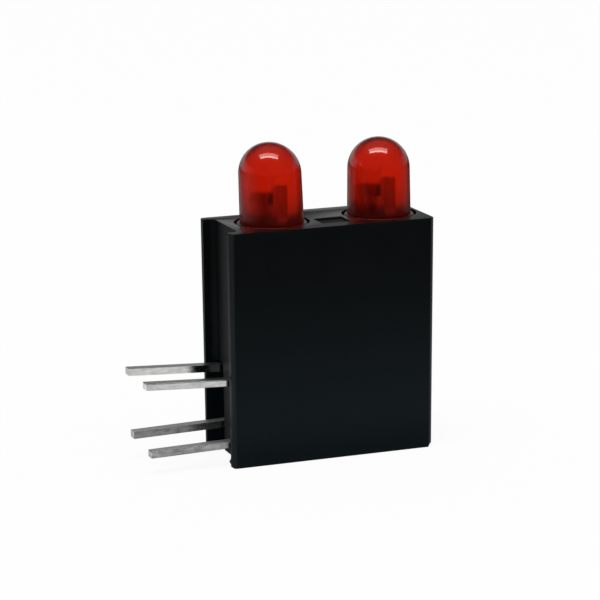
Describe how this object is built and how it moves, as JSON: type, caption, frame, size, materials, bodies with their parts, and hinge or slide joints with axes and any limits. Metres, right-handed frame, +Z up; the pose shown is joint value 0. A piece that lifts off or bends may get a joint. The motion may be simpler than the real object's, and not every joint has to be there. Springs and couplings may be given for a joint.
{
  "type": "circuit board led indicator",
  "caption": "Slim black housing with domed red indicator lamps side by side and square tinned leads bent out of its narrow board side for soldering.",
  "frame": {"origin": "middle of the plane of the housing's open rear rim, half the housing's width from the board seat, on its mid-plane", "axes": "+Z up along the lamps, out of the lamp face; -X out of the board side, along the leads, into the board; -Y the plain front side seen in the picture"},
  "size_m": [0.0134, 0.0042, 0.014],
  "materials": {
    "black_plastic": "moulded black, fine satin grain",
    "red_epoxy": "cast, clear red tint, gloss",
    "tinned_lead": "stamped strip, bright tin",
    "light_chip": "sawn crystal",
    "gold_wire": "drawn gold"
  },
  "bodies": {
    "root": {"housing": "black_plastic", "inner_lens": "red_epoxy", "inner_cathode": "tinned_lead", "inner_anode": "tinned_lead", "inner_chip": "light_chip", "inner_wire": "gold_wire", "outer_lens": "red_epoxy", "outer_cathode": "tinned_lead", "outer_anode": "tinned_lead", "outer_chip": "light_chip", "outer_wire": "gold_wire"}
  },
  "joints": []
}
